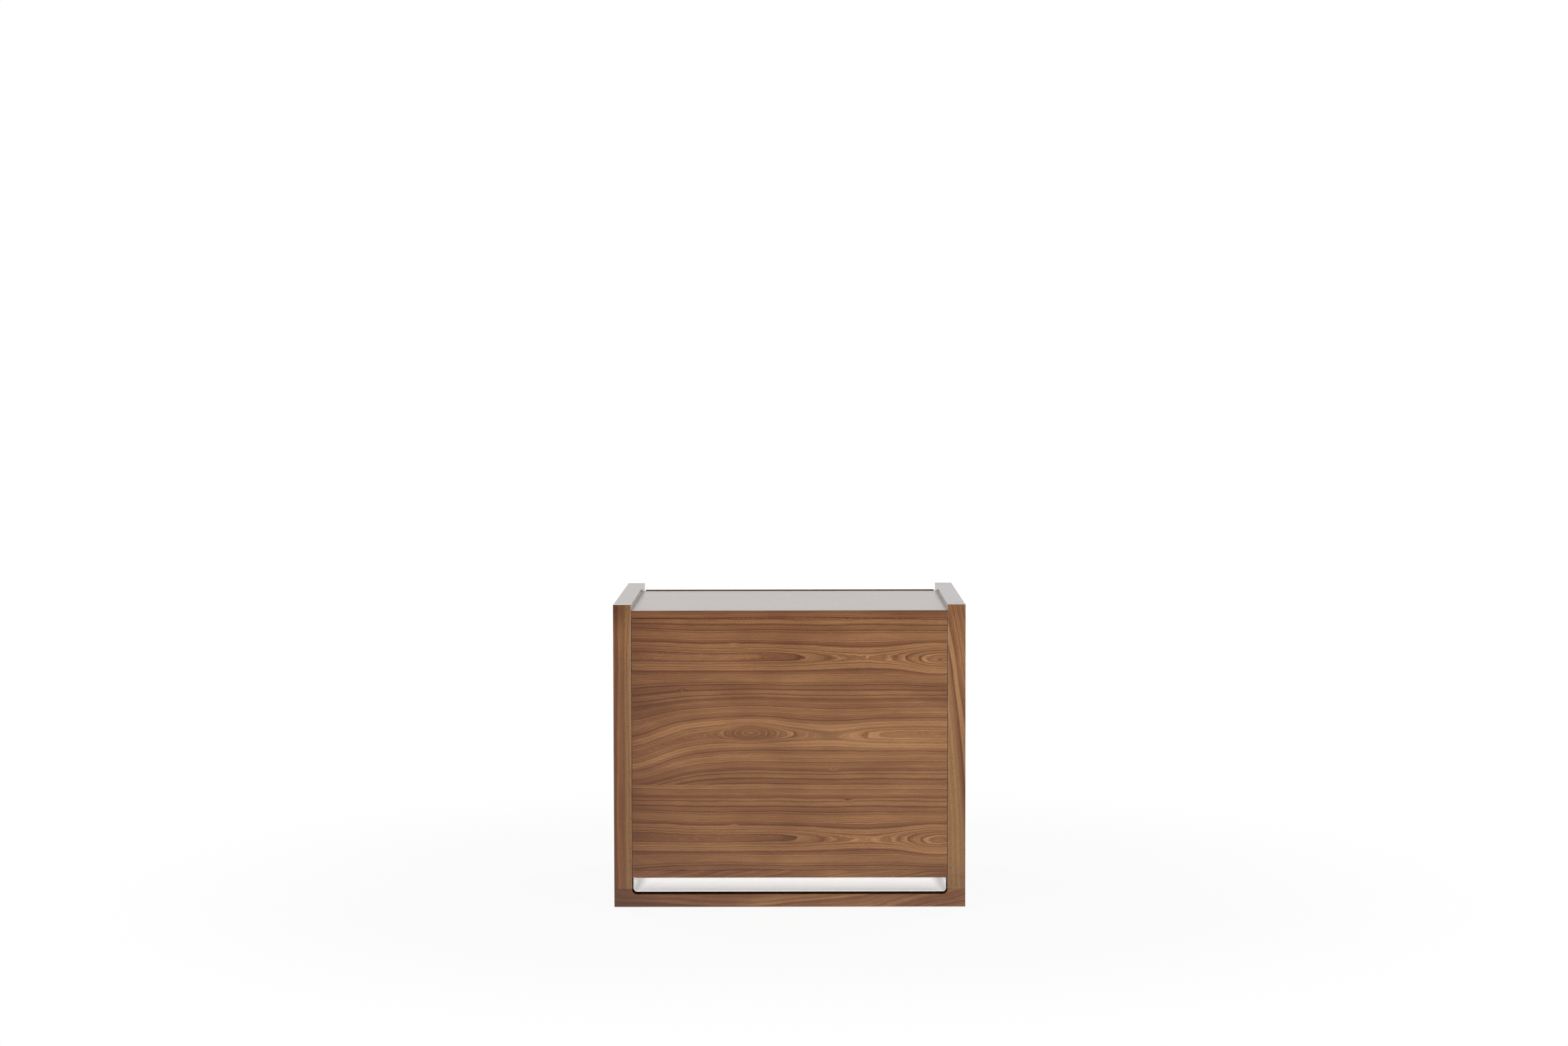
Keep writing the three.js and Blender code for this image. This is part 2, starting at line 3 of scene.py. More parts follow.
import bpy
from mathutils import Euler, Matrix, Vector

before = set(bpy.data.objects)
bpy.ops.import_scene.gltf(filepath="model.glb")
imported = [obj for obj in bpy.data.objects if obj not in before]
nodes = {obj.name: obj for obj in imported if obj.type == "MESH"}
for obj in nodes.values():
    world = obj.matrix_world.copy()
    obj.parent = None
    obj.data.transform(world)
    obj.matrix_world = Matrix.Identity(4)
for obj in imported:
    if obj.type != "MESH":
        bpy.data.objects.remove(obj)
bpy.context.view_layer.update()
mm = 0.001
print("frame loaded:", len(nodes), "pieces")


# Small helpers

def hexColour(text):
    # sRGB hex to the linear values that Blender wants
    channels = [int(text[i:i + 2], 16) / 255 for i in (0, 2, 4)]
    linear = [c / 12.92 if c <= 0.04045 else ((c + 0.055) / 1.055) ** 2.4 for c in channels]
    return (*linear, 1)


def addNode(tree, kind, links=None, stops=(), **settings):
    # links: input name or number -> a node (its first output), a socket or a plain value
    # stops: the places and colours of a colour ramp
    node = tree.nodes.new("ShaderNode" + kind)
    for name, value in settings.items():
        setattr(node, name, value)
    for key, value in (links or {}).items():
        if isinstance(value, bpy.types.Node):
            value = value.outputs[0]
        if isinstance(value, bpy.types.NodeSocket):
            tree.links.new(value, node.inputs[key])
        else:
            node.inputs[key].default_value = value
    if stops:
        elements = node.color_ramp.elements
        while len(elements) < len(stops):
            elements.new(0.5)
        for element, (at, colour) in zip(elements, stops):
            element.position = at
            element.color = colour
    return node


mixedFrom, mixedTo, mixedColour = 6, 7, 2   # a Mix node's two colour inputs and its colour output


def newMaterial(name, shaderValues):
    # The material, its node tree and its shader; values that are even all over sit on the shader itself
    material = bpy.data.materials.new(name)
    material.use_nodes = True
    shader = material.node_tree.nodes["Principled BSDF"]
    for socket, value in shaderValues.items():
        shader.inputs[socket].default_value = value
    return material, material.node_tree, shader


def millimetres(tree):
    # Object coordinates of the piece, in mm: the figure stays on the wood when the piece moves
    place = addNode(tree, "TexCoord")
    return addNode(tree, "VectorMath", {0: place.outputs["Object"], "Scale": 1 / mm}, operation="SCALE")


def giveMaterial(material, pieces):
    for name in pieces:
        for slot in nodes[name].material_slots:
            slot.material = material


def piecesEnding(text):
    return [name for name in nodes if name.endswith(text)]


# Wood

walnutColours = [
    # tone, colour
    (0.12, "4a2811"),   # late wood, the dark lines
    (0.34, "62381b"),
    (0.52, "79502e"),   # the brown that most of the board has
    (0.70, "956a42"),   # early wood, the light streaks
    (0.90, "aa7e53"),   # the palest streaks
]
birchColours = [
    (0.05, "b88f5c"),
    (0.35, "d0ab78"),
    (0.6, "dfbf90"),
    (0.95, "ebd3aa"),
]
satinLacquer = {"IOR": 1.42, "Coat Weight": 0.4, "Coat Roughness": 0.16}   # sealed wood under a thin coat
wipedOil = {"IOR": 1.36}    # one wipe, on a face that stands against a wall
thinSealer = {"IOR": 1.45}

growth = {
    # rings of a semi-ring-porous wood: each darkens slowly, ends in a thin dark line, then starts light
    "darkest": 0.93,        # how far through a ring its line is darkest
    "wander": 3.2,          # how far the rings stray from even spacing, in rings
    "wanderRate": 0.4,      # how often that turns, for each ring
    "streakDetail": 3,
    "streakRoughness": 0.6,
    "seedShift": 37,        # how far a seed moves the piece along the noise
}
grain = {
    # what follows the fibres: how long and how wide its dashes are (mm), and how finely broken
    "fibres": (34, 0.9, 2),     # fibre is 0.4 mm wide; drawn wider so that it shows
    "specks": (2.4, 1.3, 1),
    # the clouds are painted sheen: lighter and darker patches that in real wood change with the view
    "clouds": (110, 34, 2),     # patches a hand wide, where the fibres lean towards or away from the eye
    "poreLength": 5,
    "poreEdge": (0.60, 0.72),   # where in the noise a pore starts and is deepest
    "seedShift": 5,
}
coating = {
    # a coat sinks a little over soft pale wood and into the deepest pores, so the figure shows in the gloss
    "depth": 0.04,
    "strength": 0.25,
    "dullPores": 0.12,      # how much rougher pores and pale wood are
    "dullPale": 0.1,
}

woodLook = {
    # what every piece of wood starts from; each piece below says where it differs
    "colours": walnutColours,
    "finish": satinLacquer,
    "roughness": 0.26,
    "relief": 1.5,          # how far pale wood sinks, against a pore
    "seed": 0.0,
    "ringPitch": 4.0,
    "lineStart": 0.5,       # how far through a ring its dark line begins
    "bandWidth": 7,
    "streakWidth": 1.8,
    "poreWidth": 0.7,       # real pores are 0.2 mm wide; drawn wider so that they show
    "bandPower": 0.65,
    "streakPower": 0.5,
    "fibrePower": 0.2,
    "speckPower": 0.16,
    "cloudPower": 0.25,
    "linePower": 0.22,
    "porePower": 0.14,
    "lightness": -0.38,
    "drift": (0, 0),        # lighter for each mm along the grain, and where it is even
    # lighter or darker places: middle (along, across), half length, half width, change
    "shades": [],
    # rings that the eye picks out: distance across the rings, change
    "marks": [],
}


def alongGrain(tree, point, look, size):
    # Noise drawn out along the grain
    along, across, detail = size
    scale = (1 / along, 1 / across, 1 / across)
    place = addNode(tree, "VectorMath", {0: point, 1: scale}, operation="MULTIPLY")
    shift = look["seed"] * grain["seedShift"]
    place = addNode(tree, "VectorMath", {0: place, 1: (shift, 0, 0)}, operation="ADD")
    return addNode(tree, "TexNoise", {"Vector": place, "Scale": 1, "Detail": detail})


def addHills(tree, place, hills):
    # Sums smooth round-topped hills, each fading out from its middle
    total = 0.0
    for x, y, length, height, amount in hills:
        away = addNode(tree, "VectorMath", {0: place, 1: (x, y, 0)}, operation="SUBTRACT")
        away = addNode(tree, "VectorMath", {0: away, 1: (1 / length, 1 / height, 0)}, operation="MULTIPLY")
        square = addNode(tree, "VectorMath", {0: away, 1: away}, operation="DOT_PRODUCT")
        fade = addNode(tree, "Math", {0: 1 / math.e, 1: square.outputs["Value"]}, operation="POWER")
        total = addNode(tree, "Math", {0: fade, 1: amount, 2: total}, operation="MULTIPLY_ADD")
    return total


def ringLines(tree, rings, look):
    # The dark line that ends each ring, stronger in some years than in others
    pitch = look["ringPitch"]
    wander = addNode(tree, "TexNoise", {"W": rings, "Scale": growth["wanderRate"] / pitch, "Detail": 1},
                     noise_dimensions="1D")
    reach = pitch * growth["wander"]
    uneven = addNode(tree, "Math", {0: wander, 1: reach, 2: rings}, operation="MULTIPLY_ADD")
    count = addNode(tree, "Math", {0: uneven, 1: 1 / pitch, 2: look["seed"]}, operation="MULTIPLY_ADD")
    phase = addNode(tree, "Math", {0: count}, operation="FRACT")
    year = addNode(tree, "Math", {0: count}, operation="FLOOR")
    strength = addNode(tree, "TexWhiteNoise", {"W": year}, noise_dimensions="1D")
    rise = {"Value": phase, "From Min": look["lineStart"], "From Max": growth["darkest"]}
    rise = addNode(tree, "MapRange", rise, interpolation_type="SMOOTHSTEP")
    fall = {"Value": phase, "From Min": 1.0, "From Max": growth["darkest"]}
    fall = addNode(tree, "MapRange", fall, interpolation_type="SMOOTHSTEP")
    line = addNode(tree, "Math", {0: rise, 1: fall}, operation="MULTIPLY")
    return addNode(tree, "Math", {0: line, 1: strength}, operation="MULTIPLY")


def markedRings(tree, rings, marks):
    # The rings that the eye picks out, as a grey above or below the middle
    first, last = marks[0][0], marks[-1][0]
    share = addNode(tree, "MapRange", {"Value": rings, "From Min": first, "From Max": last})
    stops = []
    for at, change in marks:
        grey = 0.5 + change
        stops.append(((at - first) / (last - first), (grey, grey, grey, 1)))
    return addNode(tree, "ValToRGB", {"Fac": share}, stops)


def woodTone(tree, rings, point, look):
    # Turns a distance across the growth rings (mm) into a tone from dark to pale, and finds the pores
    line = ringLines(tree, rings, look)

    # broad bands from wet and dry years, and narrow streaks inside them
    seeded = addNode(tree, "Math", {0: rings, 1: look["seed"] * growth["seedShift"]}, operation="ADD")
    bands = addNode(tree, "TexNoise", {"W": seeded, "Scale": 1 / look["bandWidth"], "Detail": 2},
                    noise_dimensions="1D")
    streaks = {"W": seeded, "Scale": 1 / look["streakWidth"], "Detail": growth["streakDetail"],
               "Roughness": growth["streakRoughness"]}
    streaks = addNode(tree, "TexNoise", streaks, noise_dimensions="1D")

    fibres = alongGrain(tree, point, look, grain["fibres"])
    pores = alongGrain(tree, point, look, (grain["poreLength"], look["poreWidth"], 1))
    specks = alongGrain(tree, point, look, grain["specks"])
    # painted sheen: patches lighter or darker where the fibres lean towards or away from the eye
    clouds = alongGrain(tree, point, look, grain["clouds"])
    start, deepest = grain["poreEdge"]
    pit = addNode(tree, "MapRange", {"Value": pores, "From Min": start, "From Max": deepest})

    tone = addNode(tree, "Math", {0: bands, 1: look["bandPower"], 2: look["lightness"]},
                   operation="MULTIPLY_ADD")
    layers = [
        (streaks, look["streakPower"]),
        (fibres, look["fibrePower"]),
        (specks, look["speckPower"]),
        (clouds, look["cloudPower"]),
        (line, -look["linePower"]),
        (pit, -look["porePower"]),
    ]
    if look["marks"]:
        layers.append((markedRings(tree, rings, look["marks"]), 1))
    for layer, power in layers:
        tone = addNode(tree, "Math", {0: layer, 1: power, 2: tone}, operation="MULTIPLY_ADD")

    drift, evenAt = look["drift"]
    split = addNode(tree, "SeparateXYZ", {0: point})
    tone = addNode(tree, "Math", {0: split.outputs["X"], 1: drift, 2: tone}, operation="MULTIPLY_ADD")
    tone = addNode(tree, "Math", {0: tone, 1: drift * evenAt}, operation="SUBTRACT")
    shade = addHills(tree, point, look["shades"])
    tone = addNode(tree, "Math", {0: tone, 1: shade}, operation="ADD")
    return tone, pit


def woodColour(tree, tone, look):
    stops = [(at, hexColour(text)) for at, text in look["colours"]]
    return addNode(tree, "ValToRGB", {"Fac": tone}, stops).outputs["Color"]


def finishWood(tree, shader, colour, tone, pit, look):
    tree.links.new(colour, shader.inputs["Base Color"])
    sunk = addNode(tree, "Math", {0: tone, 1: look["relief"], 2: pit}, operation="MULTIPLY_ADD")
    bump = {"Height": sunk, "Strength": coating["strength"], "Distance": coating["depth"] * mm}
    bump = addNode(tree, "Bump", bump, invert=True)
    tree.links.new(bump.outputs["Normal"], shader.inputs["Normal"])
    darkest = look["roughness"] - coating["dullPale"] / 2    # the look gives the roughness of middling wood
    dull = addNode(tree, "Math", {0: pit, 1: coating["dullPores"], 2: darkest}, operation="MULTIPLY_ADD")
    dull = addNode(tree, "Math", {0: tone, 1: coating["dullPale"], 2: dull}, operation="MULTIPLY_ADD")
    tree.links.new(dull.outputs[0], shader.inputs["Roughness"])


# The drawer front: crown-cut black walnut veneer, slip-matched, sanded and sprayed with satin lacquer

crownVeneer = {
    **woodLook,
    "leafTop": 486.2,       # height of the upper leaf's top edge, trimmed off under the lipping
    "leafPitch": 289.2,     # the leaves are slip-matched: the next one repeats the last
    "rowUpper": 86,         # middle of the upper row of crowns, below the leaf's top edge
    "rowLower": 209,
    "rowSoftness": 5,       # half the height of the plain wood along the middle of a row
    "deeper": 0.7,          # each leaf is sliced this much deeper into the log
    "sway": 2.4,            # waver of the lines
    "swaySize": (170, 34),
    "jag": 0.6,             # small steps in the lines, which show where they spread out
    "jagSize": (12, 5),
    "seed": 3.1,
    "ringPitch": 4.4,
    "lineStart": 0.64,
    "bandWidth": 8,
    "streakWidth": 1.6,
    "poreWidth": 0.5,
    "bandPower": 0.16,
    "streakPower": 0.60,
    "fibrePower": 0.22,
    "cloudPower": 0.30,
    "linePower": 0.34,
    "porePower": 0.12,
    "lightness": -0.70,
    "drift": (0.00019, -10),
    # lighter or darker places: middle (x, down), half length, half height, change
    "shades": [
        # the first two are painted shade: darker along the left and right edges, beside the stiles
        (-272, 145, 52, 400, -0.14),
        (262, 145, 40, 400, -0.05),
        (0, 76, 900, 26, -0.035),
        (0, 158, 900, 24, -0.035),
        (-60, 16, 240, 18, 0.05),
    ],
    "marks": [
        (-6, 0.10), (0, 0.08), (6, 0.04), (7.2, -0.10), (8.2, 0.05), (10.4, 0), (11, -0.08), (12, 0.06),
        (20, 0.12), (23.5, -0.14), (28, 0.04), (40, 0.02), (45, -0.13), (48, 0.04), (51.5, -0.15), (56, 0),
        (63, 0.03), (69, -0.11), (73, 0.03), (78, -0.08), (87, 0.11), (98, -0.04), (105, 0.12), (116, 0.08),
        (121, 0.04), (123, -0.12), (124.5, 0.03), (129, -0.12), (130.5, 0.02), (135, -0.12), (137, 0),
        (144, -0.04),
    ],
    # where the rows leave the straight: middle (x, down), half length, half height, shift down
    "bends": [
        (-271, 81, 90, 60, -5),
        (233, 88, 40, 60, 2),
        (-262, 246, 78, 88, 34),
        (-61, 206, 60, 60, -3),
        (79, 209, 70, 60, 2.5),
    ],
    # knots take rings out of a row or add them: middle (x, down), half length, half height, rings in mm
    "knots": [
        (121, 86, 95, 24, 8),
        (233, 88.5, 42, 24, -9),
        (-61, 206.5, 31, 13, 24),
        (64, 209, 60, 22, -7),
        # pin knots, no bigger than a fingertip
        (71, 266, 7, 3, 4),
        (93, 25.5, 7, 3, 4),
        (-89, 65.5, 6, 2.5, -4),
        (-171, 137, 5, 2.5, 3),
    ],
}


def leafNoise(tree, onLeaf, size):
    # The same in every leaf
    length, height = size
    place = addNode(tree, "VectorMath", {0: onLeaf, 1: (1 / length, 1 / height, 0)}, operation="MULTIPLY")
    return addNode(tree, "TexNoise", {"Vector": place, "Scale": 1, "Detail": 2}, noise_dimensions="2D")


def crownRings(tree, point, look):
    # Plain-sliced veneer cuts the growth rings as a map cuts hills: the figure is their contour lines
    split = addNode(tree, "SeparateXYZ", {0: point})
    fall = addNode(tree, "Math", {0: look["leafTop"], 1: split.outputs["Z"]}, operation="SUBTRACT")
    leaf = addNode(tree, "Math", {0: fall, 1: 1 / look["leafPitch"]}, operation="MULTIPLY")
    leaf = addNode(tree, "Math", {0: leaf}, operation="FLOOR")
    down = addNode(tree, "Math", {0: leaf, 1: -look["leafPitch"], 2: fall}, operation="MULTIPLY_ADD")
    onLeaf = addNode(tree, "CombineXYZ", {"X": split.outputs["X"], "Y": down})
    bend = addHills(tree, onLeaf, look["bends"])
    knots = addHills(tree, onLeaf, look["knots"])

    sway = leafNoise(tree, onLeaf, look["swaySize"])
    level = addNode(tree, "Math", {0: down, 1: bend}, operation="SUBTRACT")
    level = addNode(tree, "Math", {0: sway, 1: look["sway"] * 2, 2: level}, operation="MULTIPLY_ADD")
    level = addNode(tree, "Math", {0: level, 1: look["sway"] + look["rowUpper"]}, operation="SUBTRACT")

    # from the middle of one row to the middle of the next, flat along both middles
    between = look["rowLower"] - look["rowUpper"]
    soft = look["rowSoftness"]
    slope = addNode(tree, "Math", {0: level, 1: between}, operation="PINGPONG")
    slope = addNode(tree, "Math", {0: slope, 1: soft, 2: soft}, operation="SMOOTH_MAX")
    slope = addNode(tree, "Math", {0: slope, 1: between - soft, 2: soft}, operation="SMOOTH_MIN")
    rings = addNode(tree, "Math", {0: slope, 1: knots}, operation="ADD")
    rings = addNode(tree, "Math", {0: leaf, 1: look["deeper"], 2: rings}, operation="MULTIPLY_ADD")
    jag = leafNoise(tree, onLeaf, look["jagSize"])
    rings = addNode(tree, "Math", {0: jag, 1: look["jag"] * 2, 2: rings}, operation="MULTIPLY_ADD")
    return rings, onLeaf


def makeCrownVeneer(name, look):
    material, tree, shader = newMaterial(name, look["finish"])
    rings, onLeaf = crownRings(tree, millimetres(tree), look)
    tone, pit = woodTone(tree, rings, onLeaf, look)
    finishWood(tree, shader, woodColour(tree, tone, look), tone, pit, look)
    return material


giveMaterial(makeCrownVeneer("crownWalnutVeneer", crownVeneer), ["drawer_front"])
print("drawer front done")


# Boards and plain sheets: planed, sanded and finished, with long streaks that wander gently along them

boardLook = {
    **woodLook,
    "axes": "XZY",          # which way the grain runs, then the width and the thickness
    "lean": 0.0,            # slope of the rings against the board's length
    "bow": (0, 0),          # curve of the rings along the board, and where it turns
    "sweep": 5,             # how far the rings wander along the board
    "sweepSize": (300, 60),
    "through": 0.45,        # slope of the rings through the thickness
    "endShade": 0.16,       # end grain drinks the finish and goes darker
    "endFacing": (0.6, 0.8),
    "sapwood": None,        # where across the board it starts and is full, and its slope along the board
}
sapwoodLook = {
    "colour": "87623b",     # yellower wood near the bark
    "share": 0.85,
    "lightness": 0.675,
    "tonePower": 0.65,      # how far it follows the streaks of the board
    "flecks": (4, 1.9, 2),  # the short pores that sapwood shows clearly
    "fleckEdge": (0.5, 0.7),
    "fleckPower": 0.3,
}


def laidOut(tree, axes):
    # Turns the object's millimetres so that X is along the grain, Y across it and Z through the board
    split = addNode(tree, "SeparateXYZ", {0: millimetres(tree)})
    along, across, through = [split.outputs[axis] for axis in axes]
    point = addNode(tree, "CombineXYZ", {"X": along, "Y": across, "Z": through})
    return point, along, across, through


def endGrain(tree, look):
    # 1 on faces sawn across the grain, 0 on the long faces
    facing = addNode(tree, "TexCoord")
    split = addNode(tree, "SeparateXYZ", {0: facing.outputs["Normal"]})
    size = addNode(tree, "Math", {0: split.outputs[look["axes"][0]]}, operation="ABSOLUTE")
    start, full = look["endFacing"]
    return addNode(tree, "MapRange", {"Value": size, "From Min": start, "From Max": full})


def boardRings(tree, point, along, across, through, look):
    # Distance across the growth rings (mm)
    length, width = look["sweepSize"]
    scale = (1 / length, 1 / width, 1 / width)
    sweep = addNode(tree, "VectorMath", {0: point, 1: scale}, operation="MULTIPLY")
    sweep = addNode(tree, "VectorMath", {0: sweep, 1: (look["seed"], 0, 0)}, operation="ADD")
    sweep = addNode(tree, "TexNoise", {"Vector": sweep, "Scale": 1, "Detail": 2})
    swing = look["sweep"] * 4    # this noise strays about a quarter from its middle
    rings = addNode(tree, "Math", {0: sweep, 1: swing, 2: across}, operation="MULTIPLY_ADD")
    rings = addNode(tree, "Math", {0: along, 1: look["lean"], 2: rings}, operation="MULTIPLY_ADD")
    bow, turnsAt = look["bow"]
    reach = addNode(tree, "Math", {0: along, 1: turnsAt}, operation="SUBTRACT")
    reach = addNode(tree, "Math", {0: reach, 1: reach}, operation="MULTIPLY")
    rings = addNode(tree, "Math", {0: reach, 1: bow, 2: rings}, operation="MULTIPLY_ADD")
    return addNode(tree, "Math", {0: through, 1: look["through"], 2: rings}, operation="MULTIPLY_ADD")


def addSapwood(tree, colour, tone, point, along, across, look):
    start, full, lean = look["sapwood"]
    edge = addNode(tree, "Math", {0: along, 1: lean, 2: across}, operation="MULTIPLY_ADD")
    pale = addNode(tree, "MapRange", {"Value": edge, "From Min": start, "From Max": full},
                   interpolation_type="SMOOTHSTEP")
    share = addNode(tree, "Math", {0: pale, 1: sapwoodLook["share"]}, operation="MULTIPLY")
    flecks = alongGrain(tree, point, look, sapwoodLook["flecks"])
    start, full = sapwoodLook["fleckEdge"]
    flecks = addNode(tree, "MapRange", {"Value": flecks, "From Min": start, "From Max": full})
    light = addNode(tree, "Math", {0: tone, 1: sapwoodLook["tonePower"], 2: sapwoodLook["lightness"]},
                    operation="MULTIPLY_ADD")
    light = addNode(tree, "Math", {0: flecks, 1: -sapwoodLook["fleckPower"], 2: light},
                    operation="MULTIPLY_ADD")
    sap = addNode(tree, "VectorMath", {0: hexColour(sapwoodLook["colour"])[:3], "Scale": light.outputs[0]},
                  operation="SCALE")
    mixed = addNode(tree, "Mix", {0: share, mixedFrom: colour, mixedTo: sap}, data_type="RGBA")
    return mixed.outputs[mixedColour]


def makeBoard(name, look):
    material, tree, shader = newMaterial(name, look["finish"])
    point, along, across, through = laidOut(tree, look["axes"])
    rings = boardRings(tree, point, along, across, through, look)
    tone, pit = woodTone(tree, rings, point, look)
    ends = endGrain(tree, look)
    tone = addNode(tree, "Math", {0: ends, 1: -look["endShade"], 2: tone}, operation="MULTIPLY_ADD")
    colour = woodColour(tree, tone, look)
    if look["sapwood"]:
        colour = addSapwood(tree, colour, tone, point, along, across, look)
    finishWood(tree, shader, colour, tone, pit, look)
    return material


walnutBoards = {
    # sawn black walnut and plain veneer of it, by material name: the pieces, and where they differ
    "walnutStileLeft": {
        "pieces": ["left_front_stile"],
        "axes": "ZXY",
        "seed": 16.3,
        "streakWidth": 3.6,
        "streakPower": 0.34,
        "linePower": 0.08,
        "lightness": -0.4,
        "drift": (0.0003, 270),
        "shades": [(478, -265, 24, 40, -0.2)],
        "sapwood": (-270, -252, 0),
    },
    "walnutStileRight": {
        "pieces": ["right_front_stile"],
        "axes": "ZXY",
        "seed": 7.9,
        "lean": 0.1,
        "bow": (0.0003, 230),
        "ringPitch": 5,
        "streakPower": 0.36,
        "linePower": 0.2,
        "lightness": -0.28,
        # the drift and the shade at the foot darken the foot: painted shade, where the light falls off near
        # the floor
        "drift": (0.0005, 290),
        "shades": [(478, 265, 20, 40, -0.1), (42, 265, 20, 40, -0.2)],
        "sapwood": (293.5, 287.5, 0.096),
    },
    "walnutFrontRail": {
        "pieces": ["front_bottom_rail"],
        "seed": 2.4,
        "bow": (-0.00035, -110),
        "sweepSize": (130, 40),
        "cloudPower": 0.5,
        # dark partly in the rail's own tone and partly as painted shade, where the light falls off near the
        # floor
        "lightness": -0.64,
        "drift": (0.0006, 0),
        "shades": [(-20, 10, 110, 60, 0.15), (250, 10, 60, 60, -0.05)],
    },
    "walnutGripRail": {
        "pieces": ["grip_rail"],
        "seed": 5.2,
        "lean": -0.12,
        "bow": (0.0002, 100),
        "sweep": 6,
        "sweepSize": (150, 40),
        "bandPower": 0.35,
        "streakPower": 0.4,
        "cloudPower": 0.5,
        "linePower": 0.06,
        "shades": [(-258, 30, 35, 60, -0.1), (250, 30, 45, 60, -0.09)],
    },
    "walnutLipping": {"pieces": ["top_front_lipping"], "seed": 4.6, "sweep": 3, "lightness": -0.47},
    "walnutTopVeneer": {
        "pieces": ["top_panel"],
        "axes": "XYZ",
        "seed": 6.1,
        "sweep": 8,
        "sweepSize": (420, 70),
        "bandWidth": 24,
        "bandPower": 1.1,
        "lightness": -0.6,
        "relief": 0.5,
    },
    "walnutSideVeneer": {
        "pieces": ["left_side_panel", "right_side_panel"],
        "axes": "ZYX",
        "seed": 9.7,
        "sweep": 9,
        "sweepSize": (420, 80),
    },
    "walnutRearStile": {"pieces": ["left_rear_stile", "right_rear_stile"], "axes": "ZXY", "seed": 10.9},
    "walnutBackVeneer": {
        "pieces": ["back_panel"],
        "seed": 8.8,
        "sweep": 12,
        "sweepSize": (460, 90),
        "finish": wipedOil,
        "roughness": 0.55,
    },
    "walnutRearRail": {"pieces": ["rear_bottom_rail"], "seed": 12.1},
    "walnutSill": {"pieces": ["left_sill", "right_sill"], "axes": "YXZ", "seed": 13.7},
}

birchLook = {
    # birch, planed and given one thin coat: pale and even, with faint broad rings and dark end grain
    **boardLook,
    "colours": birchColours,
    "finish": thinSealer,
    "roughness": 0.42,
    "ringPitch": 5.5,
    "bandWidth": 14,
    "streakWidth": 3.2,
    "poreWidth": 0.45,
    "bandPower": 0.7,
    "streakPower": 0.35,
    "fibrePower": 0.3,
    "cloudPower": 0.5,
    "linePower": 0.12,
    "porePower": 0.06,
    "lightness": -0.42,
    "sweep": 10,
    "endShade": 0.3,
}
birchBoards = {
    "birchBoxSide": {"pieces": ["left_box_side", "right_box_side"], "axes": "YZX", "seed": 2.2},
    "birchBoxEnd": {"pieces": ["box_front", "box_back"], "axes": "XZY", "seed": 4.7},
    "birchPlywood": {"pieces": ["box_bottom", "bottom_panel"], "axes": "XYZ", "seed": 7.3},
    "birchTopCleat": {"pieces": ["left_top_cleat", "right_top_cleat"], "axes": "YXZ", "seed": 8.1},
    "birchBackCleat": {"pieces": ["left_back_cleat", "right_back_cleat"], "axes": "ZXY", "seed": 9.4},
}

for ordinary, boards in ((boardLook, walnutBoards), (birchLook, birchBoards)):
    for name, changes in boards.items():
        giveMaterial(makeBoard(name, {**ordinary, **changes}), changes["pieces"])
print("boards done")


# The scoop under the grip rail

powderCoat = {
    # white polyester powder baked on steel: even and soft-shining, with a fine orange peel
    "shader": {"IOR": 1.5},
    "colours": ("f8f8f7", "fdfdfc"),
    "peel": 1.3,            # ripples this far apart
    "peelEdge": (0.3, 0.7),
    "roughness": (0.36, 0.46),
    "depth": 0.03,
    "strength": 0.2,
}


def makePowderCoat(name, look):
    material, tree, shader = newMaterial(name, look["shader"])
    peel = addNode(tree, "TexNoise", {"Vector": millimetres(tree), "Scale": 1 / look["peel"], "Detail": 1})
    start, full = look["peelEdge"]
    shade = addNode(tree, "MapRange", {"Value": peel, "From Min": start, "From Max": full})
    dark, light = [hexColour(text) for text in look["colours"]]
    colour = addNode(tree, "Mix", {0: shade, mixedFrom: dark, mixedTo: light}, data_type="RGBA")
    tree.links.new(colour.outputs[mixedColour], shader.inputs["Base Color"])
    smooth, rough = look["roughness"]
    rough = addNode(tree, "MapRange", {"Value": peel, "To Min": smooth, "To Max": rough})
    tree.links.new(rough.outputs[0], shader.inputs["Roughness"])
    bump = {"Height": peel, "Strength": look["strength"], "Distance": look["depth"] * mm}
    bump = addNode(tree, "Bump", bump)
    tree.links.new(bump.outputs["Normal"], shader.inputs["Normal"])
    return material


giveMaterial(makePowderCoat("whitePowderCoat", powderCoat), ["pull_scoop"])
print("scoop done")


# The slides, their ball cages and the screws

zincPlate = {
    # zinc-plated cold-rolled steel: grey with a faint blue cast, and drawing lines along the slide
    "shader": {"Metallic": 1.0},
    "lines": (0.8, 60, 0.8),    # their size across, along and up
    "mottle": 9,
    "mottlePower": 0.5,
    "toneEdge": (0.5, 1.0),     # the tones that are dull and bright
    "smoother": 0.06,           # how far the roughness varies both ways
    "rougher": 0.1,
}
zincPieces = {
    "zincPlatedSteel": {"ending": "_member", "dull": "aab0b6", "bright": "d3d6da", "roughness": 0.32},
    "ballCageSteel": {"ending": "_ball_cage", "dull": "8f9294", "bright": "c4c5c4", "roughness": 0.28},
    "zincPlatedScrew": {"ending": "_screw", "dull": "9ea2a6", "bright": "cdced0", "roughness": 0.3},
}


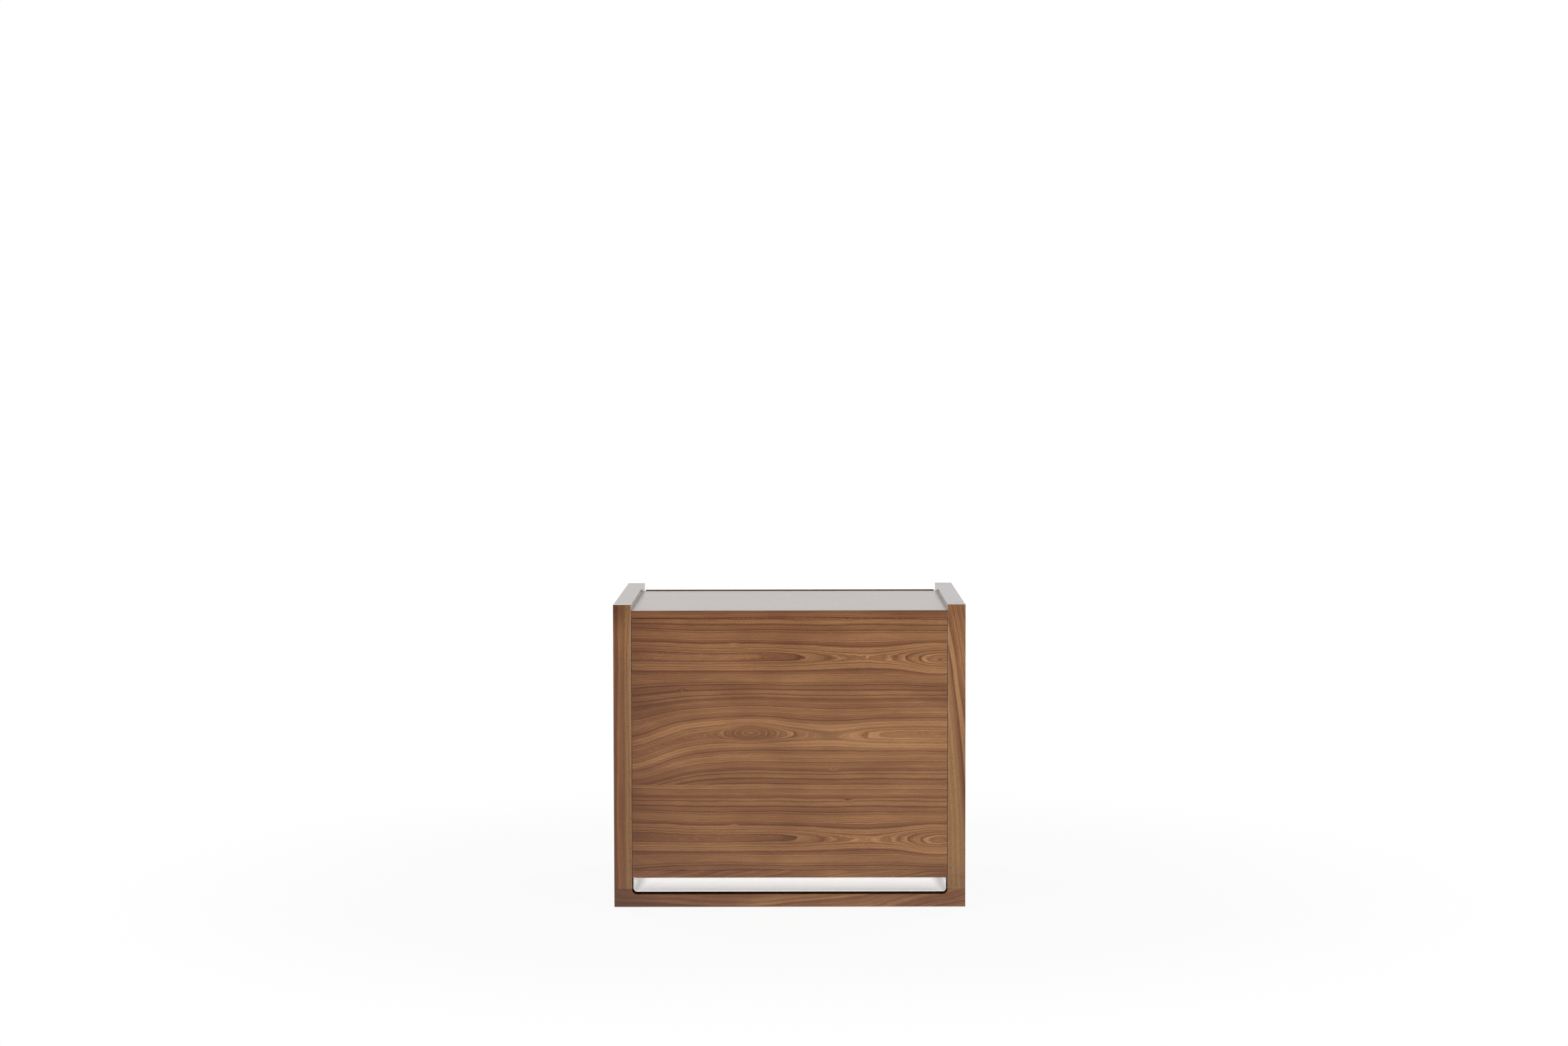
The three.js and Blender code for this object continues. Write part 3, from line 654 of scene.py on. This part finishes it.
def makeZinc(name, look):
    material, tree, shader = newMaterial(name, look["shader"])
    point = millimetres(tree)
    lines = [1 / size for size in look["lines"]]
    lines = addNode(tree, "VectorMath", {0: point, 1: lines}, operation="MULTIPLY")
    drawn = addNode(tree, "TexNoise", {"Vector": lines, "Scale": 1, "Detail": 2})
    mottle = addNode(tree, "TexNoise", {"Vector": point, "Scale": 1 / look["mottle"], "Detail": 2})
    tone = addNode(tree, "Math", {0: mottle, 1: look["mottlePower"], 2: drawn}, operation="MULTIPLY_ADD")
    dull, bright = look["toneEdge"]
    share = addNode(tree, "MapRange", {"Value": tone, "From Min": dull, "From Max": bright})
    ends = {mixedFrom: hexColour(look["dull"]), mixedTo: hexColour(look["bright"])}
    colour = addNode(tree, "Mix", {0: share, **ends}, data_type="RGBA")
    tree.links.new(colour.outputs[mixedColour], shader.inputs["Base Color"])
    rough = {"Value": drawn, "To Min": look["roughness"] - look["smoother"],
             "To Max": look["roughness"] + look["rougher"]}
    rough = addNode(tree, "MapRange", rough)
    tree.links.new(rough.outputs[0], shader.inputs["Roughness"])
    return material


for name, changes in zincPieces.items():
    giveMaterial(makeZinc(name, {**zincPlate, **changes}), piecesEnding(changes["ending"]))
print("slides and screws done")


# The bumpers and glides

moulded = {
    # one colour with a slight bloom, and the mould's fine grain
    "bloom": 4,
    "roughnessSpread": 0.08,
    "depth": 0.02,
    "strength": 0.3,
}
mouldedPieces = {
    "blackRubber": {"ending": "_bumper", "dark": "17171a", "light": "26262a", "roughness": 0.75, "grain": 0.5,
                    "shader": {"IOR": 1.52}},
    "naturalNylon": {"ending": "_glide", "dark": "d8d2c2", "light": "e6e1d3", "roughness": 0.5, "grain": 0.6,
                     "shader": {"IOR": 1.53}},
}


def makeMoulded(name, look):
    material, tree, shader = newMaterial(name, look["shader"])
    point = millimetres(tree)
    bloom = addNode(tree, "TexNoise", {"Vector": point, "Scale": 1 / look["bloom"], "Detail": 3})
    ends = {mixedFrom: hexColour(look["dark"]), mixedTo: hexColour(look["light"])}
    colour = addNode(tree, "Mix", {0: bloom, **ends}, data_type="RGBA")
    tree.links.new(colour.outputs[mixedColour], shader.inputs["Base Color"])
    texture = addNode(tree, "TexNoise", {"Vector": point, "Scale": 1 / look["grain"], "Detail": 1})
    rough = {"Value": texture, "To Min": look["roughness"] - look["roughnessSpread"],
             "To Max": look["roughness"] + look["roughnessSpread"]}
    rough = addNode(tree, "MapRange", rough)
    tree.links.new(rough.outputs[0], shader.inputs["Roughness"])
    bump = {"Height": texture, "Strength": look["strength"], "Distance": look["depth"] * mm}
    bump = addNode(tree, "Bump", bump)
    tree.links.new(bump.outputs["Normal"], shader.inputs["Normal"])
    return material


for name, changes in mouldedPieces.items():
    giveMaterial(makeMoulded(name, {**moulded, **changes}), piecesEnding(changes["ending"]))
print("bumpers and glides done")


# The studio, in metres

surround = {
    "level": 0.106,             # what the object is lit by
    "behindCamera": 0.15,       # what gloss sees of the dim half of the room
    "besideChest": 0.45,        # and of the walls and the ceiling
    "roomEdge": (-0.35, 0.15),  # where the one turns into the other, front to back
    "backdropEdge": (0.7, 0.93),
}
floorSweep = {
    "reach": 14,
    "litTo": -0.3,              # how far to the front it is lit, and how softly it ends
    "litFade": 0.7,
    "glow": 0.92,               # how white it is near the chest; further out it is plain white
    "shadowEdge": (0.5, 1.3),
}
lampPairs = {
    "sideLamps": {"azimuth": 35, "distance": 4.2, "height": 0.5, "size": (1.4, 0.6), "power": 94,
                  "inGloss": True},
    # in gloss these would burn out the top in a view from the front corner
    "rearLamps": {"azimuth": 140, "distance": 4.2, "height": 1.6, "size": (1.6, 1.0), "power": 60,
                  "inGloss": False},
}
lampTarget = (0, 0, 0.25)
topLamp = {"height": 3.6, "size": (4.0, 4.0), "power": 27.8, "inGloss": True}


def makeSurround(look):
    # White to the eye; gloss sees a white backdrop behind the chest in a dimmer room; all else gets a low
    # even level, for the object's own shading
    world = bpy.data.worlds.new("paleSurround")
    bpy.context.scene.world = world
    world.use_nodes = True
    tree = world.node_tree
    background = tree.nodes["Background"]
    path = addNode(tree, "LightPath")
    seen = addNode(tree, "Math", {0: path.outputs["Is Camera Ray"], 1: path.outputs["Is Transmission Ray"]},
                   operation="MAXIMUM")
    place = addNode(tree, "TexCoord")
    back = addNode(tree, "SeparateXYZ", {0: place.outputs["Generated"]}).outputs["Y"]
    start, full = look["roomEdge"]
    room = {"Value": back, "From Min": start, "From Max": full, "To Min": look["behindCamera"],
            "To Max": look["besideChest"]}
    room = addNode(tree, "MapRange", room, interpolation_type="SMOOTHSTEP")
    start, full = look["backdropEdge"]
    backdrop = addNode(tree, "MapRange", {"Value": back, "From Min": start, "From Max": full},
                       interpolation_type="SMOOTHSTEP")
    room = addNode(tree, "Mix", {"Factor": backdrop, "A": room, "B": 1.0})
    gloss = addNode(tree, "Mix", {"Factor": path.outputs["Is Glossy Ray"], "A": look["level"], "B": room})
    level = addNode(tree, "Mix", {"Factor": seen, "A": gloss, "B": 1.0})
    tree.links.new(level.outputs[0], background.inputs["Strength"])
    background.inputs["Color"].default_value = (1, 1, 1, 1)


def makeFloor(look):
    # A pale sweep: it glows white to the eye and takes a soft shadow
    reach = look["reach"]
    mesh = bpy.data.meshes.new("paleFloor")
    corners = [(-reach, -reach, 0), (reach, -reach, 0), (reach, reach, 0), (-reach, reach, 0)]
    mesh.from_pydata(corners, [], [(0, 1, 2, 3)])
    floor = bpy.data.objects.new("paleFloor", mesh)
    bpy.context.scene.collection.objects.link(floor)
    material = bpy.data.materials.new("matteWhiteSweep")
    material.use_nodes = True
    tree = material.node_tree
    tree.nodes.remove(tree.nodes["Principled BSDF"])
    white = hexColour("ffffff")
    paint = addNode(tree, "BsdfDiffuse", {"Color": white})
    glow = addNode(tree, "Emission", {"Color": white, "Strength": 1.0})
    path = addNode(tree, "LightPath")
    # the lit sweep ends in front of the chest: past it, gloss finds the dim half of the room
    place = addNode(tree, "TexCoord")
    back = addNode(tree, "SeparateXYZ", {0: place.outputs["Object"]}).outputs["Y"]
    lit = {"Value": back, "From Min": look["litTo"] - look["litFade"], "From Max": look["litTo"],
           "To Min": surround["behindCamera"], "To Max": 1}
    lit = addNode(tree, "MapRange", lit, interpolation_type="SMOOTHSTEP")
    gloss = addNode(tree, "Math", {0: path.outputs["Is Glossy Ray"], 1: lit}, operation="MULTIPLY")
    seen = addNode(tree, "Math", {0: path.outputs["Is Camera Ray"], 1: gloss}, operation="MAXIMUM")
    seen = addNode(tree, "Math", {0: seen, 1: path.outputs["Is Transmission Ray"]}, operation="MAXIMUM")
    # the shadow lies near the chest, and the sweep runs out to plain white
    away = addNode(tree, "VectorMath", {0: place.outputs["Object"]}, operation="LENGTH")
    near, far = look["shadowEdge"]
    plain = {"Value": away.outputs["Value"], "From Min": near, "From Max": far, "To Min": look["glow"],
             "To Max": 1}
    plain = addNode(tree, "MapRange", plain, interpolation_type="SMOOTHSTEP")
    share = addNode(tree, "Math", {0: seen, 1: plain}, operation="MULTIPLY")
    mixed = addNode(tree, "MixShader", {0: share, 1: paint, 2: glow})
    tree.links.new(mixed.outputs[0], tree.nodes["Material Output"].inputs["Surface"])
    mesh.materials.append(material)


def makeLamp(name, place, target, look):
    lamp = bpy.data.lights.new(name, "AREA")
    lamp.shape = "RECTANGLE"
    lamp.size, lamp.size_y = look["size"]
    lamp.energy = look["power"]
    holder = bpy.data.objects.new(name, lamp)
    holder.location = place
    aim = Vector(target) - Vector(place)
    holder.rotation_euler = aim.to_track_quat("-Z", "Y").to_euler()
    holder.visible_glossy = look["inGloss"]
    bpy.context.scene.collection.objects.link(holder)


def makeLampPair(name, look):
    turn = math.radians(look["azimuth"])
    x, y = look["distance"] * math.sin(turn), -look["distance"] * math.cos(turn)
    makeLamp(name + "Left", (-x, y, look["height"]), lampTarget, look)
    makeLamp(name + "Right", (x, y, look["height"]), lampTarget, look)


cameraSettings = {
    "place": (0.013, -5.099, 0.889),
    "focal": 70.81,    # mm
    "sensor": 36,
    "down": 3.236,     # degrees
    "left": 0.24,
    "roll": 0.12,
}


def makeCamera(look):
    lens = bpy.data.cameras.new("camera")
    lens.lens = look["focal"]
    lens.sensor_width = look["sensor"]
    holder = bpy.data.objects.new("camera", lens)
    holder.location = look["place"]
    turns = (90 - look["down"], look["roll"], look["left"])
    holder.rotation_euler = Euler([math.radians(turn) for turn in turns])
    bpy.context.scene.collection.objects.link(holder)
    bpy.context.scene.camera = holder


makeSurround(surround)
makeFloor(floorSweep)
for name, look in lampPairs.items():
    makeLampPair(name, look)
makeLamp("topLamp", (0, 0, topLamp["height"]), (0, 0, 0), topLamp)
makeCamera(cameraSettings)
bpy.context.scene.view_settings.view_transform = "Standard"
print("light, floor and camera done")
